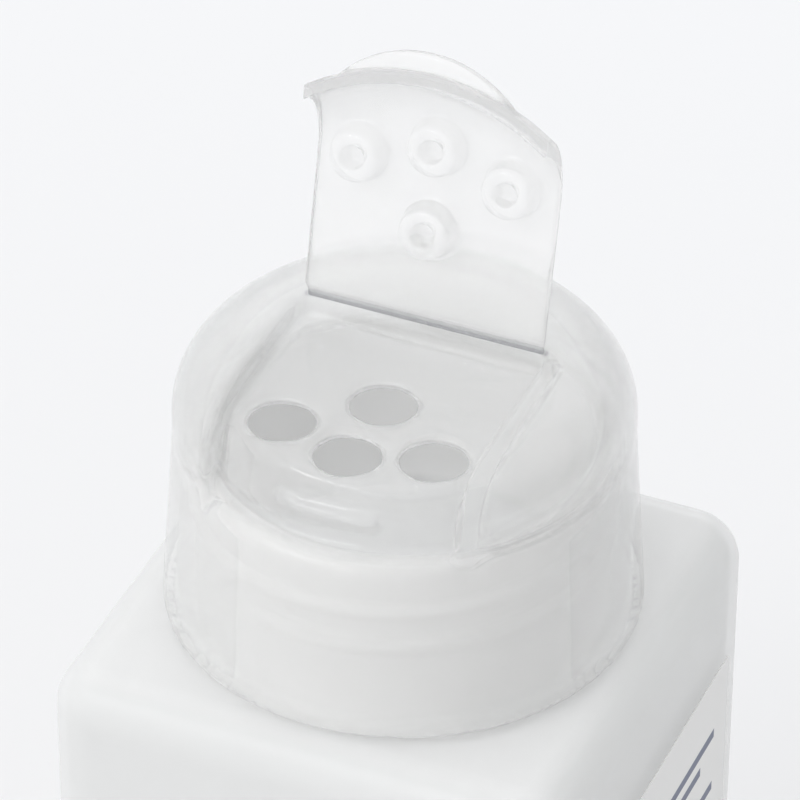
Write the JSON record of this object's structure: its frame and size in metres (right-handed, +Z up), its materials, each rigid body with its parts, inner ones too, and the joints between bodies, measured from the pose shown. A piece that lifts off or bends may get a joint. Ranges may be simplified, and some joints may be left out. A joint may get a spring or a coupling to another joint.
{
  "type": "powder shaker bottle",
  "caption": "Square translucent plastic bottle with a screw cap, a sifter floor with round holes and a hinged flap that plugs them, for sprinkling powder.",
  "frame": {"origin": "middle of the base on the bottle's axis, on the plane that the bottle stands on", "axes": "+Z up along the bottle and the cap, -Y towards the front of the cap where the flap opens, +X towards the labelled side"},
  "size_m": [0.0591, 0.059, 0.1734],
  "materials": {
    "bottle_plastic": "blown translucent white plastic, satin",
    "cap_plastic": "moulded clear-white plastic, smooth with a soft haze",
    "label_film": "pale grey satin film"
  },
  "bodies": {
    "bottle": {"bottle": "bottle_plastic", "label": "label_film"},
    "cap": {"cap": "cap_plastic"},
    "flap": {"flap": "cap_plastic"}
  },
  "joints": [
    {"name": "cap_lift", "type": "slide", "parent": "bottle", "child": "cap", "axis": [0, 0, 1], "range_m": [0, 0.035]},
    {"name": "flap_hinge", "type": "hinge", "parent": "cap", "child": "flap", "pos_m": [0, 0.0055, 0.14035], "axis": [-1, 0, 0], "range_deg": [-103.3, 45]}
  ]
}
